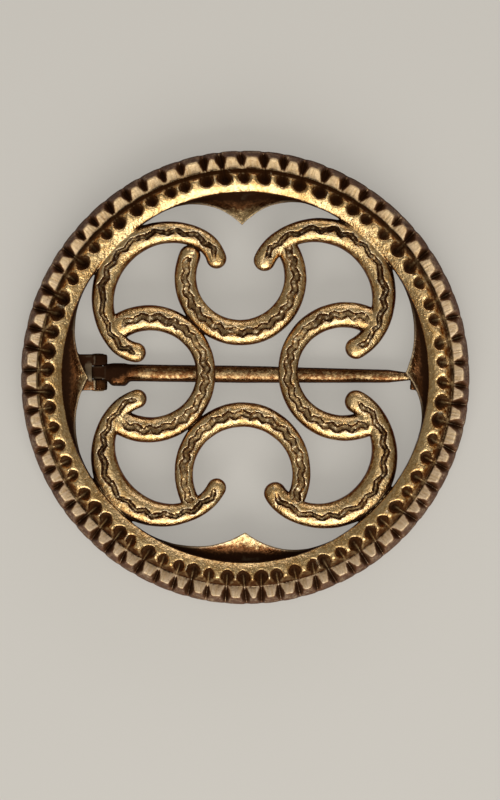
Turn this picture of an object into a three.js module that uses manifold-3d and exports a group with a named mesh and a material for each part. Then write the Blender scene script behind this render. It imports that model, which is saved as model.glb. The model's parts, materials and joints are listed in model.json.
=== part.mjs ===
// Openwork disc brooch, cast in brass, with a hinged needle across its back.
// Millimetres. +Z points out of the face, +Y is the top of the face, and the
// back rim stands on Z = 0 with the origin under the middle of the disc.

import * as THREE from 'three';
import { mergeVertices } from 'three/addons/utils/BufferGeometryUtils.js';
import Module from 'manifold-3d';

const wasm = await Module();
wasm.setup();

const DEGREE = Math.PI / 180;

// ---------------------------------------------------------------- sizes

// The rim, as a ring turned about Z and then made a little oval by hand.
const RIM = {
  radius: 21.0,
  oval: { x: 0.995, y: 1.006 },
  shoulderZ: 2.2,          // top of the upright outer wall
  outerCrest: { r: 20.25, z: 4.25 },
  valley: { r: 19.25, z: 3.15 },
  innerCrest: { r: 18.75, z: 4.45 },
  band: { r: 17.75, z: 4.05 },
  innerRadius: 17.0,
  innerEdgeZ: 3.2,
  flangeZ: 2.3,            // underside of the face, behind which the rim is hollow
  hollowRadius: 19.4,
  footRadius: 19.8,        // inner edge of the foot that the brooch lies on
};

// Two rows of notches stand one behind the other, and drift a little round the rim.
const TEETH = {
  count: 67,
  start: 5.3,
  landShare: 0.55,         // share of the pitch that each tooth keeps at its crest
  drift: [
    { turns: 1, swing: 4.2, phase: 154 },
    { turns: 2, swing: 1.25, phase: 101 },
  ],
  outerNotchZ: 3.1,
  outerNotchR: 20.66,
  innerNotchZ: 3.35,
};

// Four pointed plates reach in from the rim. The spreads are in degrees.
const CUSP = { lowZ: 2.3, highZ: 3.05, rootRadius: 17.4, steps: 8 };
const CUSPS = [
  { at: 91.2, reach: 3.0, spreadBefore: 24, spreadAfter: 24 },
  { at: 180, reach: 2.4, spreadBefore: 30, spreadAfter: 32 },
  { at: 270, reach: 2.75, spreadBefore: 36, spreadAfter: 28 },
  { at: 1.5, reach: 2.1, spreadBefore: 20, spreadAfter: 33 },
];

// Ribbons of the openwork: an arc about a centre, from one bearing to another,
// whose ends may turn further in on a tighter hook.
const RIBBON = { lowZ: 2.45, steps: 17, hookSteps: 3, swellPower: 3 };
const CRESCENTS = [
  { centre: [-6.9, 7.15], radius: 6.3, from: 66, to: 215, hook: 3.0, turn: [50, 45], back: 2.3, tip: 1.85 },
  { centre: [6.7, 7.5], radius: 6.15, from: -34, to: 125, hook: 4.1, turn: [29, 31], back: 2.5, tip: 2.0 },
  { centre: [-7.25, -6.85], radius: 5.9, from: 152, to: 299, hook: 4.4, turn: [43, 33], back: 2.65, tip: 1.75 },
  { centre: [7.05, -7.0], radius: 5.85, from: 243, to: 399, hook: 4.1, turn: [31, 24], back: 2.6, tip: 2.1 },
];
const BOWS = [
  { centre: [-0.45, 9.25], radius: 5.1, from: 157, to: 400, back: 2.3, tip: 2.0 },
  { centre: [-0.25, -8.9], radius: 5.45, from: -31, to: 212, back: 2.2, tip: 1.65 },
  { centre: [-8.85, 0.33], radius: 5.2, from: -119, to: 119, back: 1.8, tip: 2.4 },
  { centre: [9.2, 0.55], radius: 5.25, from: 64, to: 296, back: 1.8, tip: 2.4 },
];
const CRESCENT_HEIGHT = 1.6;
const BOW_HEIGHT = 1.5;

// The needle turns on a rivet between two lugs behind the left cusp.
const PIVOT = { x: -13.7, y: 0.47, z: 1.2 };
const LUG = { radius: 0.95, thickness: 1.1, gap: 1.2, rootReach: 2.7, crownZ: 2.75 };
const AXLE = { radius: 0.42, boreRadius: 0.5, sides: 12 };
const NEEDLE = {
  eyeWidth: 1.1,
  eyeSides: 20,
  headStart: -12.65,       // where the head clears the lugs
  headEnd: -10.7,
  headHalfWidth: 1.02,
  headDrop: 0.4,           // the head bulges to one side of the shank
  shankRadius: 0.75,
  taperEnd: 14.5,
  taperRadius: 0.62,
  pointX: 17.1,
  lean: -0.0132,           // the shank runs slightly down across the back
};

// Two cheeks behind the right cusp keep the needle from moving sideways.
const CATCH = { from: 15.25, to: 16.6, cheek: 0.65, slot: 1.34, lowZ: 0.3, seatZ: 1.95, rootZ: 2.6 };

// ---------------------------------------------------------------- solids

// Turns a closed three.js geometry into a solid for joining and cutting.
function toSolid(geometry) {
  const bare = geometry.clone();
  bare.deleteAttribute('normal');
  bare.deleteAttribute('uv');
  const merged = mergeVertices(bare, 1e-5);
  const solid = new wasm.Manifold(new wasm.Mesh({
    numProp: 3,
    vertProperties: new Float32Array(merged.getAttribute('position').array),
    triVerts: new Uint32Array(merged.getIndex().array),
  }));
  if (solid.volume() <= 0) throw new Error('a piece is inside out');
  return solid;
}

// Turns a joined solid back into a three.js geometry.
function toGeometry(solid) {
  const mesh = solid.getMesh();
  const geometry = new THREE.BufferGeometry();
  geometry.setAttribute('position', new THREE.BufferAttribute(new Float32Array(mesh.vertProperties), 3));
  geometry.setIndex(new THREE.BufferAttribute(new Uint32Array(mesh.triVerts), 1));
  geometry.computeVertexNormals();
  return geometry;
}

// Moves every vertex of a geometry to the place that a function gives it.
function moveVertices(geometry, place) {
  const position = geometry.getAttribute('position');
  for (let i = 0; i < position.count; i += 1) {
    const [x, y, z] = place(new THREE.Vector3().fromBufferAttribute(position, i), i);
    position.setXYZ(i, x, y, z);
  }
  return geometry;
}

// A bar bent along stations {x, y, heading, half, low, high}. The section is a
// loop of [across, up], with across from -1 to 1 and up from 0 to 1.
function bentBar(stations, section) {
  const last = stations.length - 1;
  const bar = new THREE.CylinderGeometry(1, 1, 1, section.length, last);
  return moveVertices(bar, (vertex) => {
    const station = stations[Math.round((0.5 - vertex.y) * last)];
    const onAxis = Math.hypot(vertex.x, vertex.z) < 0.5;
    const turn = Math.atan2(vertex.x, vertex.z) / (2 * Math.PI) + 1;
    const corner = Math.round(turn * section.length) % section.length;
    const [across, up] = onAxis ? [0, 0.5] : section[corner];
    return [
      station.x - across * station.half * Math.sin(station.heading),
      station.y + across * station.half * Math.cos(station.heading),
      station.low + up * (station.high - station.low),
    ];
  });
}

// A plate with a flat outline, of the given thickness.
function plate(shape, depth) {
  return new THREE.ExtrudeGeometry(shape, { depth, bevelEnabled: false, curveSegments: 9 });
}

// A plate that stands across the needle: its outline is drawn in X and Z.
function plateAlongY(shape, fromY, toY) {
  return moveVertices(plate(shape, toY - fromY), (vertex) => [vertex.x, toY - vertex.z, vertex.y]);
}

// A plate that faces along the needle: its outline is drawn in Y and Z.
function plateAlongX(shape, fromX, toX) {
  return moveVertices(plate(shape, toX - fromX), (vertex) => [fromX + vertex.z, vertex.x, vertex.y]);
}

// ---------------------------------------------------------------- rim

// Bearing in radians of a place in the tooth rows, counted in teeth.
function toothBearing(count) {
  const even = TEETH.start + (count * 360) / TEETH.count;
  let bearing = even;
  for (let pass = 0; pass < 3; pass += 1) {
    const swings = TEETH.drift.map(
      ({ turns, swing, phase }) => swing * Math.cos((turns * bearing - phase) * DEGREE),
    );
    bearing = even + swings.reduce((sum, swing) => sum + swing, 0);
  }
  return bearing * DEGREE;
}

// Each tooth has three stations: its two shoulders and the notch behind it.
function rimStation(index) {
  const tooth = Math.floor(index / 3) % TEETH.count;
  const place = [-TEETH.landShare / 2, TEETH.landShare / 2, 0.5][index % 3];
  return { bearing: toothBearing(tooth + place), inNotch: index % 3 === 2 };
}

function rimSolid() {
  const profile = [
    { r: RIM.footRadius, z: 0 },
    { r: RIM.radius, z: 0 },
    { r: RIM.radius, z: RIM.shoulderZ },
    { r: TEETH.outerNotchR, z: TEETH.outerNotchZ },
    { ...RIM.outerCrest, notchZ: TEETH.outerNotchZ },
    RIM.valley,
    { ...RIM.innerCrest, notchZ: TEETH.innerNotchZ },
    RIM.band,
    { r: RIM.innerRadius, z: RIM.innerEdgeZ },
    { r: RIM.innerRadius, z: RIM.flangeZ },
    { r: RIM.hollowRadius, z: RIM.flangeZ },
  ];
  const loop = [...profile, profile[0]];
  const lathe = new THREE.LatheGeometry(loop.map(({ r, z }) => new THREE.Vector2(r, z)), 3 * TEETH.count);
  const ring = moveVertices(lathe, (vertex, index) => {
    const corner = loop[index % loop.length];
    const station = rimStation(Math.floor(index / loop.length) % (3 * TEETH.count));
    const z = station.inNotch && corner.notchZ ? corner.notchZ : corner.z;
    return [
      corner.r * Math.cos(station.bearing) * RIM.oval.x,
      corner.r * Math.sin(station.bearing) * RIM.oval.y,
      z,
    ];
  });
  return toSolid(ring);
}

// A cusp has two hollow curved sides that meet in a point.
function cuspSolid({ at, reach, spreadBefore, spreadAfter }) {
  const corner = (radius, offset) => {
    const bearing = (at + offset) * DEGREE;
    return new THREE.Vector2(
      radius * Math.cos(bearing) * RIM.oval.x,
      radius * Math.sin(bearing) * RIM.oval.y,
    );
  };
  const edge = [];
  const root = [];
  for (let step = -CUSP.steps; step <= CUSP.steps; step += 1) {
    const share = step / CUSP.steps;
    const offset = share < 0 ? share * spreadBefore : share * spreadAfter;
    edge.push(corner(RIM.innerRadius - reach * (1 - Math.abs(share)) ** 2, offset));
    root.unshift(corner(CUSP.rootRadius, offset));
  }
  const cusp = plate(new THREE.Shape([...root, ...edge]), CUSP.highZ - CUSP.lowZ);
  return toSolid(cusp.translate(0, 0, CUSP.lowZ));
}

// ---------------------------------------------------------------- ribbons

// Flat behind, upright at the sides and rounded over the top.
const RIBBON_SECTION = [
  [0.92, 0], [1, 0.4], [0.8, 0.82], [0.33, 1],
  [-0.33, 1], [-0.8, 0.82], [-1, 0.4], [-0.92, 0],
].reverse();

// Points of an arc: from one bearing to the other about a centre.
function arcPoints(centre, radius, from, to, steps) {
  return Array.from({ length: steps + 1 }, (_, step) => {
    const bearing = (from + ((to - from) * step) / steps) * DEGREE;
    return {
      x: centre[0] + radius * Math.cos(bearing),
      y: centre[1] + radius * Math.sin(bearing),
      heading: bearing + Math.PI / 2,
    };
  });
}

// The middle line of a ribbon, with its two hooks where it has them.
function middleLine({ centre, radius, from, to, hook, turn }) {
  const back = arcPoints(centre, radius, from, to, RIBBON.steps);
  if (!hook) return back;
  const hookCentre = (bearing) => [
    centre[0] + (radius - hook) * Math.cos(bearing * DEGREE),
    centre[1] + (radius - hook) * Math.sin(bearing * DEGREE),
  ];
  const first = arcPoints(hookCentre(from), hook, from - turn[0], from, RIBBON.hookSteps);
  const second = arcPoints(hookCentre(to), hook, to, to + turn[1], RIBBON.hookSteps);
  return [...first.slice(0, -1), ...back, ...second.slice(1)];
}

// Gives the middle line its width, which changes towards the middle of its back,
// and a round tip at each end.
function ribbonStations(ribbon, height) {
  const line = middleLine(ribbon);
  const swell = (index) => Math.sin((Math.PI * index) / (line.length - 1)) ** RIBBON.swellPower;
  const station = (point, half, shrink, ahead) => ({
    x: point.x + ahead * half * Math.cos(point.heading),
    y: point.y + ahead * half * Math.sin(point.heading),
    heading: point.heading,
    half: half * shrink,
    low: RIBBON.lowZ,
    high: RIBBON.lowZ + height * (0.6 + 0.4 * shrink),
  });
  const body = line.map((point, index) => {
    const half = (ribbon.tip + (ribbon.back - ribbon.tip) * swell(index)) / 2;
    return station(point, half, 1, 0);
  });
  const tips = [0.5, 0.85, 0.98].map((ahead) => ({ ahead, shrink: Math.sqrt(1 - ahead ** 2) }));
  const tipHalf = ribbon.tip / 2;
  const start = tips.map(({ ahead, shrink }) => station(line[0], tipHalf, shrink, -ahead)).reverse();
  const end = tips.map(({ ahead, shrink }) => station(line.at(-1), tipHalf, shrink, ahead));
  return [...start, ...body, ...end];
}

function ribbonSolid(ribbon, height) {
  return toSolid(bentBar(ribbonStations(ribbon, height), RIBBON_SECTION));
}

// ---------------------------------------------------------------- hinge and catch

// A cylinder along the hinge, centred across it.
function hingeCylinder(radius, width, sides) {
  return new THREE.CylinderGeometry(radius, radius, width, sides).translate(PIVOT.x, PIVOT.y, PIVOT.z);
}

// A lug is a round plate on an arm that roots in the underside of the rim.
function lugSolid(side) {
  const shape = new THREE.Shape();
  const rootX = PIVOT.x - LUG.rootReach;
  shape.moveTo(rootX, LUG.crownZ);
  shape.lineTo(rootX, CUSP.lowZ + 0.1);
  shape.lineTo(rootX + 0.5, CUSP.lowZ + 0.1);
  shape.absarc(PIVOT.x, PIVOT.z, LUG.radius, 180 * DEGREE, 415 * DEGREE, false);
  shape.lineTo(PIVOT.x - 0.3, LUG.crownZ);
  const inner = PIVOT.y + (side * LUG.gap) / 2;
  const outer = inner + side * LUG.thickness;
  return toSolid(plateAlongY(shape, Math.min(inner, outer), Math.max(inner, outer)));
}

// Side position of the needle's middle at a place along it.
function needleY(x) {
  return PIVOT.y + NEEDLE.lean * (x - PIVOT.x);
}

// An upside-down U that the needle lies in.
function catchSolid() {
  const middle = needleY((CATCH.from + CATCH.to) / 2);
  const half = CATCH.slot / 2;
  const shape = new THREE.Shape();
  shape.moveTo(middle - half - CATCH.cheek, CATCH.rootZ);
  shape.lineTo(middle - half - CATCH.cheek, CATCH.lowZ + CATCH.cheek / 2);
  shape.absarc(middle - half - CATCH.cheek / 2, CATCH.lowZ + CATCH.cheek / 2, CATCH.cheek / 2, Math.PI, 2 * Math.PI);
  shape.lineTo(middle - half, CATCH.seatZ);
  shape.lineTo(middle + half, CATCH.seatZ);
  shape.absarc(middle + half + CATCH.cheek / 2, CATCH.lowZ + CATCH.cheek / 2, CATCH.cheek / 2, Math.PI, 2 * Math.PI);
  shape.lineTo(middle + half + CATCH.cheek, CATCH.rootZ);
  return toSolid(plateAlongX(shape, CATCH.from, CATCH.to));
}

// ---------------------------------------------------------------- needle

const ROUND_SECTION = Array.from({ length: 12 }, (_, corner) => {
  const turn = (corner + 0.5) * 30 * DEGREE;
  return [Math.cos(turn), 0.5 - 0.5 * Math.sin(turn)];
});

// The shank from its wide head to its point.
function shankStations() {
  const { shankRadius, taperRadius, headHalfWidth, headDrop } = NEEDLE;
  const station = (x, half, rise, drop = 0) => ({
    x,
    y: needleY(x) - drop,
    heading: 0,
    half,
    low: PIVOT.z - rise,
    high: PIVOT.z + rise,
  });
  return [
    station(PIVOT.x + 0.6, NEEDLE.eyeWidth / 2, 0.5),
    station(NEEDLE.headStart - 0.02, NEEDLE.eyeWidth / 2, 0.55),
    station(NEEDLE.headStart, headHalfWidth * 0.85, 0.6, headDrop * 0.85),
    station(NEEDLE.headStart + 0.3, headHalfWidth, shankRadius, headDrop),
    station(NEEDLE.headEnd - 0.5, headHalfWidth, shankRadius, headDrop * 0.9),
    station(NEEDLE.headEnd, shankRadius + 0.08, shankRadius, 0.04),
    station(NEEDLE.headEnd + 0.5, shankRadius, shankRadius),
    station(0, (shankRadius + taperRadius) / 2 + 0.02, shankRadius - 0.05),
    station(NEEDLE.taperEnd, taperRadius, taperRadius),
    station(NEEDLE.pointX - 1.2, taperRadius * 0.85, taperRadius * 0.85),
    station(NEEDLE.pointX - 0.3, taperRadius * 0.4, taperRadius * 0.4),
    station(NEEDLE.pointX, 0.06, 0.06),
  ];
}

function needleSolid() {
  const eye = toSolid(hingeCylinder(LUG.radius, NEEDLE.eyeWidth, NEEDLE.eyeSides));
  const bore = toSolid(hingeCylinder(AXLE.boreRadius, 3 * NEEDLE.eyeWidth, AXLE.sides));
  return eye.add(toSolid(bentBar(shankStations(), ROUND_SECTION))).subtract(bore);
}

// ---------------------------------------------------------------- brooch

function broochSolid() {
  const parts = [
    ...CUSPS.map(cuspSolid),
    ...CRESCENTS.map((crescent) => ribbonSolid(crescent, CRESCENT_HEIGHT)),
    ...BOWS.map((bow) => ribbonSolid(bow, BOW_HEIGHT)),
    lugSolid(1),
    lugSolid(-1),
    catchSolid(),
  ];
  const whole = parts.reduce((sum, part) => sum.add(part), rimSolid());
  const lugSpan = LUG.gap + 2 * LUG.thickness;
  return whole.subtract(toSolid(hingeCylinder(AXLE.boreRadius, lugSpan + 2, AXLE.sides)));
}

function metal(color, roughness) {
  return new THREE.MeshStandardMaterial({ color, roughness, metalness: 1 });
}

function namedMesh(name, geometry, material) {
  const mesh = new THREE.Mesh(geometry, material);
  mesh.name = name;
  return mesh;
}

const castBrass = metal(0x9a6c34, 0.32);
const drawnBrass = metal(0xa9732f, 0.25);
const axleLength = LUG.gap + 2 * LUG.thickness;

const brooch = new THREE.Group();
brooch.add(
  namedMesh('brooch_body', toGeometry(broochSolid()), castBrass),
  namedMesh('needle', toGeometry(needleSolid()), drawnBrass),
  namedMesh('hinge_axle', hingeCylinder(AXLE.radius, axleLength, AXLE.sides), drawnBrass),
);

export default brooch;
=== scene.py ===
"""Dresses an openwork disc brooch: the cast and engraved body, its hinged needle and its rivet."""

import json
import math

import bpy
import numpy as np
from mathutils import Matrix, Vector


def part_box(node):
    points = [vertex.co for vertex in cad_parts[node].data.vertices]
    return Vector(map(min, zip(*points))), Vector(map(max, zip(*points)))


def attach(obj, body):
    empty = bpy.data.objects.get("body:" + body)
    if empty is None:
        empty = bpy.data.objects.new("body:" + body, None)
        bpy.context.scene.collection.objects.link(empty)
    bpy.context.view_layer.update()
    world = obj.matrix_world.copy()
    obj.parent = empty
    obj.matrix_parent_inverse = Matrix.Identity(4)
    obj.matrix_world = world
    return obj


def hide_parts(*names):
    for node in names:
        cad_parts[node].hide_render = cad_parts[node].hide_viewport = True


bl_info = {
    "name": "Openwork Disc Brooch",
    "version": (1, 0, 0),
    "blender": (4, 5, 0),
    "location": "View3D > Sidebar > Brooch",
    "description": "Casts, engraves and patinates an openwork disc brooch with a hinged needle",
    "category": "Object",
}

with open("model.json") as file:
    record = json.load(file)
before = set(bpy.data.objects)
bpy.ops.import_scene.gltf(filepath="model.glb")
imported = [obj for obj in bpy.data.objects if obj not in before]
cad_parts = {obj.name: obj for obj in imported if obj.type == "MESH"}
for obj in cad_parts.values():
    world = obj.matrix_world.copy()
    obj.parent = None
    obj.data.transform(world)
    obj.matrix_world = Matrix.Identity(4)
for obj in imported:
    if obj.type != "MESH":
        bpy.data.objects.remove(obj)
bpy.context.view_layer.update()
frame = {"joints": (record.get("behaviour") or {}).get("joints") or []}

MM = 0.001
DEGREE = math.pi / 180
TURN = 2 * math.pi

# ------------------------------------------------------------------ sizes, in millimetres

BODY_LOW, BODY_HIGH = (tuple(value / MM for value in corner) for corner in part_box("brooch_body"))
NEEDLE_LOW, NEEDLE_HIGH = (tuple(value / MM for value in corner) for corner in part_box("needle"))
AXLE_LOW, AXLE_HIGH = (tuple(value / MM for value in corner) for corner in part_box("hinge_axle"))
PIVOT = tuple(value / MM for value in frame["joints"][0]["pos_m"])

RIM_RADIUS = 21.0
OVAL = ((BODY_HIGH[0] - BODY_LOW[0]) / 2 / RIM_RADIUS, (BODY_HIGH[1] - BODY_LOW[1]) / 2 / RIM_RADIUS)
SKIN = 0.035  # the worn skin lies this far inside the sharp solid

# The rim's section, as radius and height, walked from its foot over its two crests to its inner edge.
SHOULDER = (RIM_RADIUS, 2.2)
OUTER_CREST = (20.26, 4.26)
VALLEY = (19.25, 3.45)
INNER_CREST = (18.6, 4.47)
BAND_FALL = 0.22
INNER_RADIUS = 17.0
FLANGE = 2.3
HOLLOW_TOP, HOLLOW_FOOT = 19.4, 19.8

TOOTH_COUNT = 67
TOOTH_START = 5.3
TOOTH_DRIFT = [(1, 4.2, 154), (2, 1.25, 101)]
# A notch's floor: its height where it starts to climb inwards, that radius, and where it runs out.
NOTCH_FLOOR, NOTCH_CREST, NOTCH_APEX = 3.42, 18.35, 17.74
NOTCH_TURN, NOTCH_FALL = 3.47, 0.78  # its height at the valley, and its fall outwards from there
NOTCH_ROUND = 0.15
NOTCH_WORN = 0.38
NOTCH_INNER, NOTCH_GAIN = 0.6, 0.68  # its sides' share of the slope inside the valley, and the gain outside
# Each tooth is off by up to this: its place as a share of a tooth, its depth, and its lean.
TOOTH_SHIFT, TOOTH_DEPTH, TOOTH_LEAN = 0.09, 0.22, 0.16

# Cusps: bearing, reach, and spread before and after the point, in degrees.
CUSPS = [(91.2, 3.0, 24, 24), (180, 2.4, 30, 32), (270, 2.75, 36, 28), (1.5, 2.1, 20, 33)]
CUSP_TOP = 2.6
CUSP_LIP, CUSP_DISH = 0.26, 0.2
CUSP_LIP_WIDTH, CUSP_DISH_WIDTH = 0.5, 1.3
CUSP_ROOT = 17.8  # a cusp's plate runs this far out under the rim
CUSP_SHADE = 2.4  # painted shade on a cusp fades out over this reach from the rim

# Crescents: centre, radius, first and last bearing, hook radius, hook turns, widths of back and tips.
CRESCENTS = [
    ((-6.9, 7.15), 6.3, 66, 215, 3.0, (50, 45), 2.3, 1.85),
    ((6.7, 7.5), 6.15, -34, 125, 4.1, (29, 31), 2.5, 2.0),
    ((-7.25, -6.85), 5.9, 152, 299, 4.4, (43, 33), 2.75, 1.75),
    ((7.05, -7.0), 5.85, 243, 399, 4.1, (31, 24), 2.72, 2.1),
]
# Bows: centre, radius, first and last bearing, widths of back and tips.
BOWS = [
    ((-0.45, 9.25), 5.1, 157, 400, 2.4, 2.0),
    ((-0.25, -8.9), 5.45, -31, 212, 2.3, 1.65),
    ((-8.85, 0.33), 5.2, -119, 119, 1.8, 2.4),
    ((9.2, 0.55), 5.25, 64, 296, 1.8, 2.4),
]
RIBBON_LOW = 2.45
CRESCENT_HEIGHT = 1.6
BOW_HEIGHT = 1.5
RIBBON_CORNER = 0.86  # the rounding of a ribbon's edges, as a share of its half width
# The graver's line: its period, swing, shift outwards at the back, half of its flat, and margin at the tips.
BOW_LINE = (1.35, 0.16, 0.0, 0.17, 0.4)
CRESCENT_LINE = (1.9, 0.19, 0.12, 0.1, 0.55)
BOW_LINE_SHARE = 1.2  # the bows' line is this much wider
BLADE_TIP = 0.0016  # square of the rounding at the bottom of the line

LUG_RADIUS, LUG_THICKNESS, LUG_GAP, LUG_REACH = 0.95, 1.1, 1.2, 2.7
LUG_WORN = 0.35
WEB_EDGE, WEB_LOW, WEB_HIGH = -14.64, 1.6, 2.45
BROW_EDGE, BROW_LOW = -14.2, 2.2  # a brow over the needle's eye
BORE_RADIUS = 0.5
BORE_REACH = 2.6  # the bore goes through both lugs and stops short of the rim
NEEDLE_LEAN = -0.0132
CATCH_FROM, CATCH_TO = 15.25, 16.6
CATCH_CHEEK, CATCH_SLOT, CATCH_LOW, CATCH_SEAT, CATCH_ROOT = 0.65, 1.34, 0.3, 1.95, 2.6


# ------------------------------------------------------------------ node trees written as formulas

class Formula:
    """A value in a node tree that is worked with like a number."""

    def __init__(self, tree, socket):
        self.tree = tree
        self.socket = socket

    def __add__(self, other):
        return self.tree.math("ADD", self, other)

    def __sub__(self, other):
        return self.tree.math("SUBTRACT", self, other)

    def __rsub__(self, other):
        return self.tree.math("SUBTRACT", other, self)

    def __mul__(self, other):
        return self.tree.math("MULTIPLY", self, other)

    def __truediv__(self, other):
        return self.tree.math("DIVIDE", self, other)

    def __pow__(self, other):
        return self.tree.math("POWER", self, other)

    def __neg__(self):
        return self.tree.math("MULTIPLY", self, -1)

    def __abs__(self):
        return self.tree.math("ABSOLUTE", self)

    def __lt__(self, other):
        return self.tree.math("LESS_THAN", self, other)

    __radd__ = __add__
    __rmul__ = __mul__


class NodeTree:
    """A node tree under construction, with a method for each kind of node that is used often."""

    def __init__(self, tree):
        self.tree = tree

    @classmethod
    def geometry(cls, name):
        """A new geometry node group."""
        built = cls(bpy.data.node_groups.new(name, "GeometryNodeTree"))
        built.entry = built.tree.nodes.new("NodeGroupInput")
        built.exit = built.tree.nodes.new("NodeGroupOutput")
        return built

    def input(self, name, kind="Float", default=None):
        socket = self.tree.interface.new_socket(name, in_out="INPUT", socket_type="NodeSocket" + kind)
        if default is not None:
            socket.default_value = default
        return Formula(self, self.entry.outputs[name])

    def output(self, name, value, kind="Float"):
        self.tree.interface.new_socket(name, in_out="OUTPUT", socket_type="NodeSocket" + kind)
        self.feed(self.exit.inputs[name], value)

    def feed(self, socket, value):
        if isinstance(value, Formula):
            self.tree.links.new(value.socket, socket)
        else:
            socket.default_value = value

    def node(self, kind, inputs=None, **settings):
        """A new node with its settings, and its inputs by name or place."""
        node = self.tree.nodes.new(kind)
        for name, value in settings.items():
            setattr(node, name, value)
        for key, value in (inputs or {}).items():
            self.feed(node.inputs[key], value)
        return node

    def value(self, kind, inputs=None, output=0, **settings):
        """One output of a new node."""
        return Formula(self, self.node(kind, inputs, **settings).outputs[output])

    def math(self, operation, *values):
        return self.value("ShaderNodeMath", dict(enumerate(values)), operation=operation)

    def vector(self, operation, *values, scale=None):
        inputs = dict(enumerate(values))
        if scale is not None:
            inputs["Scale"] = scale
        return self.value("ShaderNodeVectorMath", inputs, operation=operation)

    def combine(self, x=0.0, y=0.0, z=0.0):
        return self.value("ShaderNodeCombineXYZ", {0: x, 1: y, 2: z})

    def separate(self, vector):
        node = self.node("ShaderNodeSeparateXYZ", {0: vector})
        return [Formula(self, socket) for socket in node.outputs]

    def min(self, a, b, reach=0.0):
        """The lower of two values, with a fillet of the given reach where they meet."""
        return self.math("SMOOTH_MIN", a, b, reach) if reach else self.math("MINIMUM", a, b)

    def max(self, a, b, reach=0.0):
        """The higher of two values, with an edge worn over the given reach where they meet."""
        return self.math("SMOOTH_MAX", a, b, reach) if reach else self.math("MAXIMUM", a, b)

    def length(self, *sides):
        total = sides[0] * sides[0]
        for side in sides[1:]:
            total = total + side * side
        return self.math("SQRT", total)

    def clamp(self, value, low, high):
        return self.min(self.max(value, low), high)

    def choose(self, test, when_false, when_true):
        """The second value where the test is 1, and the first where it is 0."""
        return when_false + (when_true - when_false) * test

    def noise(self, place, scale, detail=0.0, roughness=0.5, dimensions="3D"):
        """Smooth noise from 0 to 1."""
        inputs = {"Scale": scale, "Detail": detail, "Roughness": roughness}
        inputs["W" if dimensions == "1D" else "Vector"] = place
        return self.value("ShaderNodeTexNoise", inputs, noise_dimensions=dimensions)

    def call(self, group, **inputs):
        """The outputs of a node group, by name."""
        node = self.tree.nodes.new("GeometryNodeGroup")
        node.node_tree = group.tree
        for name, value in inputs.items():
            self.feed(node.inputs[name.replace("_", " ")], value)
        return {socket.name: Formula(self, socket) for socket in node.outputs}


# ------------------------------------------------------------------ the body's shape

def arc_group():
    """How far a place lies from an arc in plan, how far along it, and how far outside its circle."""
    t = NodeTree.geometry("Arc")
    x, y = t.input("X"), t.input("Y")
    centre_x, centre_y, radius = t.input("Centre X"), t.input("Centre Y"), t.input("Radius")
    middle, half = t.input("Middle bearing"), t.input("Half turn")
    dx, dy = x - centre_x, y - centre_y
    turn = t.math("WRAP", t.math("ARCTAN2", dy, dx) - middle, math.pi, -math.pi)
    turn = t.clamp(turn, -half, half)
    bearing = middle + turn
    away_x = dx - radius * t.math("COSINE", bearing)
    away_y = dy - radius * t.math("SINE", bearing)
    t.output("Distance", t.length(away_x, away_y))
    t.output("Along", (turn + half) * radius)
    t.output("Outward", t.length(dx, dy) - radius)
    return t


def crescent_arcs(crescent):
    """A crescent's middle line: a hook, the back and another hook, as centre, radius and bearings."""
    centre, radius, first, last, hook, turns = crescent[:6]

    def hook_centre(bearing):
        return (
            centre[0] + (radius - hook) * math.cos(bearing * DEGREE),
            centre[1] + (radius - hook) * math.sin(bearing * DEGREE),
        )

    return [
        (hook_centre(first), hook, first - turns[0], first),
        (centre, radius, first, last),
        (hook_centre(last), hook, last, last + turns[1]),
    ]


def ribbon_in_plan(t, arc, x, y, arcs):
    """Distance from a ribbon's middle line, the way along it, the side, and its whole length."""
    nearest = along = outward = None
    start = 0.0
    for centre, radius, first, last in arcs:
        here = t.call(
            arc, X=x, Y=y, Centre_X=centre[0], Centre_Y=centre[1], Radius=radius,
            Middle_bearing=(first + last) / 2 * DEGREE, Half_turn=(last - first) / 2 * DEGREE,
        )
        if nearest is None:
            nearest, along, outward = here["Distance"], here["Along"], here["Outward"]
        else:
            closer = here["Distance"] < nearest
            along = t.choose(closer, along, here["Along"] + start)
            outward = t.choose(closer, outward, here["Outward"])
            nearest = t.min(nearest, here["Distance"])
        start += (last - first) * DEGREE * radius
    return nearest, along, outward, start


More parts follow.
